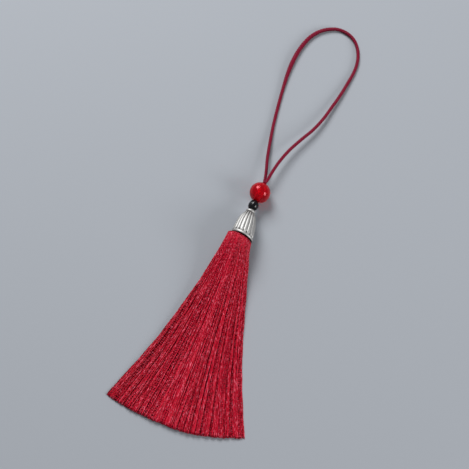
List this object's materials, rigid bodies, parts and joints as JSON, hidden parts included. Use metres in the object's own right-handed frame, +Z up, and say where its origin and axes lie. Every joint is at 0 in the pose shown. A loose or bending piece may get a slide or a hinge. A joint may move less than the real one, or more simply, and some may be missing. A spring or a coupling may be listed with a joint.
{
  "type": "bookmark tassel",
  "caption": "Tassel for a bookmark: a fanned skirt of silky strands in a fluted bell cap, with a small faceted bead, a round bead and a long loop of cord.",
  "frame": {"origin": "on the table under the middle of the tassel from its strand tips to its round bead, the loop not counted", "axes": "+Y from the strands' tips to the beads and the loop, +Z up from the table, +X to the right of +Y seen from above"},
  "size_m": [0.0506, 0.1749, 0.0104],
  "materials": {
    "skirt_rayon": "fine twisted rayon threads, silky",
    "cap_metal": "cast alloy, silver plated and darkened in its grooves",
    "black_glass": "opaque black, cut with flat facets and polished",
    "red_glaze": "polished, mirror bright",
    "cord_silk": "tightly twisted thin cord"
  },
  "bodies": {
    "root": {"skirt": "skirt_rayon", "cap": "cap_metal", "small_bead": "black_glass", "bead": "red_glaze", "cord_core": "cord_silk", "cord_loop": "cord_silk"}
  },
  "joints": []
}
